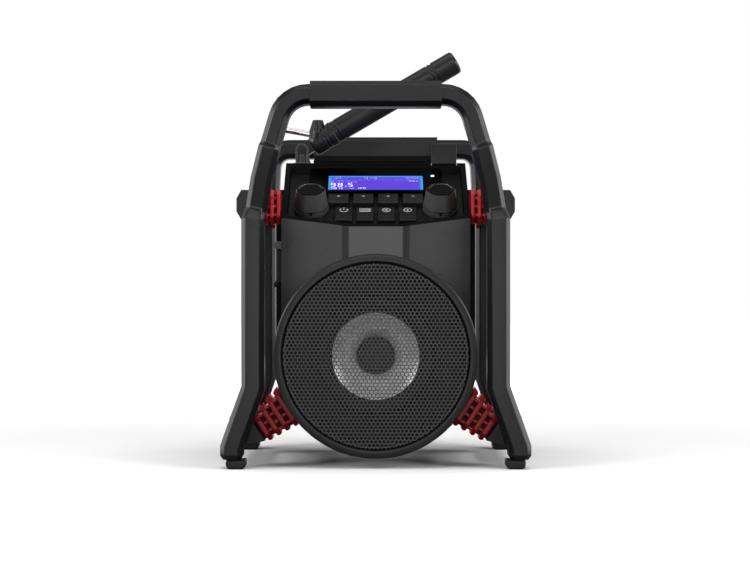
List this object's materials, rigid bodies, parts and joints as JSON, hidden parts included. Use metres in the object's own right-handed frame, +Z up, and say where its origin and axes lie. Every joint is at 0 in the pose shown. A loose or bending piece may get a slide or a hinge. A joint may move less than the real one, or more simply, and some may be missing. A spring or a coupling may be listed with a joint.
{
  "type": "jobsite radio",
  "caption": "Rugged jobsite radio with a round speaker and a sloped control panel, hung on red rubber dampers inside a dark tubular roll cage with carrying handles and a folding antenna.",
  "frame": {"origin": "on the floor, at the middle of the overall box", "axes": "+X to the right as seen by someone who faces the speaker, -Y out of the speaker, +Z up"},
  "size_m": [0.272, 0.241, 0.3789],
  "materials": {
    "cage_plastic": "satin, fine grain",
    "grip_rubber": "matte, dense",
    "beam_plastic": "matte",
    "foot_rubber": "matte",
    "damper_red": "satin red rubber",
    "shell_plastic": "satin, fine grain",
    "seal_rubber": "matte",
    "steel_screw": "zinc plated",
    "ring_plastic": "satin",
    "grille_steel": "black powder coat",
    "basket_steel": "black enamel",
    "surround_rubber": "soft",
    "cone_aluminium": "spun, bright",
    "cap_plastic": "matte",
    "coil_copper": "enamelled copper wire",
    "spider_cloth": "pressed cloth",
    "magnet_ferrite": "ferrite and plated steel",
    "deck_plastic": "semi-matte black",
    "bezel_gloss": "piano black",
    "display_glass": "lit blue",
    "led_lens": "lit blue-white",
    "board_green": "solder mask",
    "switch_plastic": "matte",
    "encoder_steel": "plated",
    "collar_plastic": "satin grey",
    "shaft_steel": "turned",
    "knob_plastic": "soft-touch",
    "key_plastic": "matte with a pale print",
    "bracket_metal": "light grey enamel",
    "antenna_rubber": "satin",
    "clip_plastic": "satin grey",
    "lock_plastic": "satin",
    "lock_chrome": "polished",
    "cover_rubber": "matte",
    "port_plastic": "matte",
    "door_plastic": "satin",
    "latch_plastic": "satin grey",
    "pack_plastic": "satin"
  },
  "bodies": {
    "radio": {"front_frame": "cage_plastic", "rear_frame": "cage_plastic", "front_grip": "grip_rubber", "rear_grip": "grip_rubber", "side_rail_left": "cage_plastic", "side_rail_right": "cage_plastic", "lower_beam_left": "beam_plastic", "lower_beam_right": "beam_plastic", "rubber_feet": "foot_rubber", "upper_dampers_left": "damper_red", "upper_dampers_right": "damper_red", "lower_dampers_left": "damper_red", "lower_dampers_right": "damper_red", "damper_plugs": "damper_red", "front_housing": "shell_plastic", "rear_housing": "shell_plastic", "housing_seal": "seal_rubber", "housing_screws": "steel_screw", "speaker_ring": "ring_plastic", "speaker_grille": "grille_steel", "speaker_basket": "basket_steel", "speaker_surround": "surround_rubber", "speaker_cone": "cone_aluminium", "dust_cap": "cap_plastic", "voice_coil": "coil_copper", "speaker_spider": "spider_cloth", "speaker_magnet": "magnet_ferrite", "speaker_screws": "steel_screw", "panel_deck": "deck_plastic", "display_bezel": "bezel_gloss", "display_screen": "display_glass", "status_led": "led_lens", "main_board": "board_green", "key_switches": "switch_plastic", "encoders": "encoder_steel", "knob_collars": "collar_plastic", "antenna_bracket": "bracket_metal", "antenna_pin": "shaft_steel", "antenna_clip": "clip_plastic", "port_block": "port_plastic", "battery_pack": "pack_plastic"},
    "volume_spindle": {"volume_shaft": "shaft_steel"},
    "volume_knob": {"volume_knob": "knob_plastic"},
    "tuning_spindle": {"tuning_shaft": "shaft_steel"},
    "tuning_knob": {"tuning_knob": "knob_plastic"},
    "soft_key_1": {"soft_key_1": "key_plastic"},
    "soft_key_2": {"soft_key_2": "key_plastic"},
    "soft_key_3": {"soft_key_3": "key_plastic"},
    "soft_key_4": {"soft_key_4": "key_plastic"},
    "function_key_1": {"function_key_1": "key_plastic"},
    "function_key_2": {"function_key_2": "key_plastic"},
    "function_key_3": {"function_key_3": "key_plastic"},
    "function_key_4": {"function_key_4": "key_plastic"},
    "antenna": {"antenna_base": "antenna_rubber", "antenna_mast": "antenna_rubber"},
    "antenna_lock": {"lock_knob": "lock_plastic", "lock_bar": "lock_chrome"},
    "port_cover": {"port_cover": "cover_rubber"},
    "battery_door": {"battery_door": "door_plastic"},
    "battery_latch": {"battery_latch": "latch_plastic"}
  },
  "joints": [
    {"name": "volume_spin", "type": "hinge", "parent": "radio", "child": "volume_spindle", "pos_m": [-0.0579, -0.06739, 0.23329], "axis": [0, -0.4848, 0.8746], "continuous": true},
    {"name": "volume_push", "type": "slide", "parent": "volume_spindle", "child": "volume_knob", "axis": [0, 0.4848, -0.8746], "range_m": [0, 0.0008], "stiffness_N_per_m": 3000, "springref_m": -0.0003},
    {"name": "tuning_spin", "type": "hinge", "parent": "radio", "child": "tuning_spindle", "pos_m": [0.0579, -0.06739, 0.23329], "axis": [0, -0.4848, 0.8746], "continuous": true},
    {"name": "tuning_push", "type": "slide", "parent": "tuning_spindle", "child": "tuning_knob", "axis": [0, 0.4848, -0.8746], "range_m": [0, 0.0008], "stiffness_N_per_m": 3000, "springref_m": -0.0003},
    {"name": "soft_key_1_press", "type": "slide", "parent": "radio", "child": "soft_key_1", "axis": [0, 0.4848, -0.8746], "range_m": [0, 0.0012], "stiffness_N_per_m": 1200, "springref_m": -0.0005},
    {"name": "soft_key_2_press", "type": "slide", "parent": "radio", "child": "soft_key_2", "axis": [0, 0.4848, -0.8746], "range_m": [0, 0.0012], "stiffness_N_per_m": 1200, "springref_m": -0.0005},
    {"name": "soft_key_3_press", "type": "slide", "parent": "radio", "child": "soft_key_3", "axis": [0, 0.4848, -0.8746], "range_m": [0, 0.0012], "stiffness_N_per_m": 1200, "springref_m": -0.0005},
    {"name": "soft_key_4_press", "type": "slide", "parent": "radio", "child": "soft_key_4", "axis": [0, 0.4848, -0.8746], "range_m": [0, 0.0012], "stiffness_N_per_m": 1200, "springref_m": -0.0005},
    {"name": "function_key_1_press", "type": "slide", "parent": "radio", "child": "function_key_1", "axis": [0, 0.4848, -0.8746], "range_m": [0, 0.0012], "stiffness_N_per_m": 1200, "springref_m": -0.0005},
    {"name": "function_key_2_press", "type": "slide", "parent": "radio", "child": "function_key_2", "axis": [0, 0.4848, -0.8746], "range_m": [0, 0.0012], "stiffness_N_per_m": 1200, "springref_m": -0.0005},
    {"name": "function_key_3_press", "type": "slide", "parent": "radio", "child": "function_key_3", "axis": [0, 0.4848, -0.8746], "range_m": [0, 0.0012], "stiffness_N_per_m": 1200, "springref_m": -0.0005},
    {"name": "function_key_4_press", "type": "slide", "parent": "radio", "child": "function_key_4", "axis": [0, 0.4848, -0.8746], "range_m": [0, 0.0012], "stiffness_N_per_m": 1200, "springref_m": -0.0005},
    {"name": "antenna_fold", "type": "hinge", "parent": "radio", "child": "antenna", "pos_m": [-0.0687, 0.0175, 0.2865], "axis": [0, -1, 0], "range_deg": [-30.2, 59.8]},
    {"name": "lock_turn", "type": "hinge", "parent": "antenna", "child": "antenna_lock", "pos_m": [-0.0543, 0.0175, 0.2973], "axis": [0, 0, 1], "range_deg": [-70, 0]},
    {"name": "port_cover_swing", "type": "hinge", "parent": "radio", "child": "port_cover", "pos_m": [-0.0882, -0.044, 0.1967], "axis": [0, 1, 0], "range_deg": [0, 95]},
    {"name": "battery_door_swing", "type": "hinge", "parent": "radio", "child": "battery_door", "pos_m": [0, 0.0957, 0.068], "axis": [-1, 0, 0], "range_deg": [0, 100]},
    {"name": "battery_latch_slide", "type": "slide", "parent": "battery_door", "child": "battery_latch", "axis": [0, 0, -1], "range_m": [0, 0.003], "stiffness_N_per_m": 600, "springref_m": -0.001}
  ]
}
